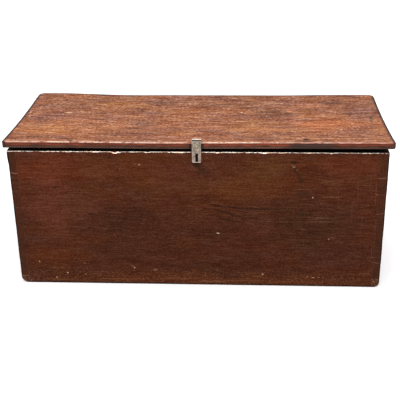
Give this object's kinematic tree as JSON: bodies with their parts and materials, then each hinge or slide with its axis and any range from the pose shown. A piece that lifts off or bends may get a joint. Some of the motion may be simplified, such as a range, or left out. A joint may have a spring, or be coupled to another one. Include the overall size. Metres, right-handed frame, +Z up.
{
  "type": "blanket chest",
  "caption": "Low rectangular dovetailed wooden chest for storing blankets, with an overhanging single-board lid on butt hinges at the back and a slotted drop hasp at the front.",
  "frame": {"origin": "centre of the case's rectangular footprint, on the surface the chest stands on", "axes": "+Z up, +X along the chest's length to the viewer's right, -Y towards the front, where the hasp is"},
  "size_m": [1.0922, 0.4822, 0.4635],
  "materials": {
    "case_wood": "aged dark red-brown finish, worn, satin",
    "lid_wood": "worn orange-brown finish, streaked, satin",
    "bottom_wood": "unfinished aged softwood, matt",
    "nail_iron": "rusted wrought surface",
    "hinge_iron": "dull dark iron, worn",
    "hasp_steel": "worn grey-brown steel, dull"
  },
  "bodies": {
    "case": {"back_board": "case_wood", "bottom_board_back": "bottom_wood", "bottom_board_front": "bottom_wood", "bottom_board_middle": "bottom_wood", "bottom_nail_01": "nail_iron", "bottom_nail_02": "nail_iron", "bottom_nail_03": "nail_iron", "bottom_nail_04": "nail_iron", "bottom_nail_05": "nail_iron", "bottom_nail_06": "nail_iron", "bottom_nail_07": "nail_iron", "bottom_nail_08": "nail_iron", "bottom_nail_09": "nail_iron", "bottom_nail_10": "nail_iron", "bottom_nail_11": "nail_iron", "bottom_nail_12": "nail_iron", "bottom_nail_13": "nail_iron", "bottom_nail_14": "nail_iron", "bottom_nail_15": "nail_iron", "bottom_nail_16": "nail_iron", "bottom_nail_17": "nail_iron", "bottom_nail_18": "nail_iron", "bottom_nail_19": "nail_iron", "bottom_nail_20": "nail_iron", "front_board": "case_wood", "hinge_left_case_leaf": "hinge_iron", "hinge_left_case_screw_1": "hinge_iron", "hinge_left_case_screw_2": "hinge_iron", "hinge_left_case_screw_3": "hinge_iron", "hinge_left_pin": "hinge_iron", "hinge_right_case_leaf": "hinge_iron", "hinge_right_case_screw_1": "hinge_iron", "hinge_right_case_screw_2": "hinge_iron", "hinge_right_case_screw_3": "hinge_iron", "hinge_right_pin": "hinge_iron", "left_end_board": "case_wood", "right_end_board": "case_wood"},
    "lid": {"hasp_lid_leaf": "hasp_steel", "hasp_pin": "hasp_steel", "hasp_screw_1": "hasp_steel", "hasp_screw_2": "hasp_steel", "hinge_left_lid_leaf": "hinge_iron", "hinge_left_lid_screw_1": "hinge_iron", "hinge_left_lid_screw_2": "hinge_iron", "hinge_left_lid_screw_3": "hinge_iron", "hinge_right_lid_leaf": "hinge_iron", "hinge_right_lid_screw_1": "hinge_iron", "hinge_right_lid_screw_2": "hinge_iron", "hinge_right_lid_screw_3": "hinge_iron", "lid_board": "lid_wood"},
    "hasp": {"hasp_strap": "hasp_steel"}
  },
  "joints": [
    {"name": "lid_hinge", "type": "hinge", "parent": "case", "child": "lid", "pos_m": [0.002, 0.234, 0.4274], "axis": [-1, 0, 0], "range_deg": [0, 105]},
    {"name": "hasp_hinge", "type": "hinge", "parent": "lid", "child": "hasp", "pos_m": [0.002, -0.22718, 0.46051], "axis": [-1, 0, 0], "range_deg": [0, 180]}
  ]
}
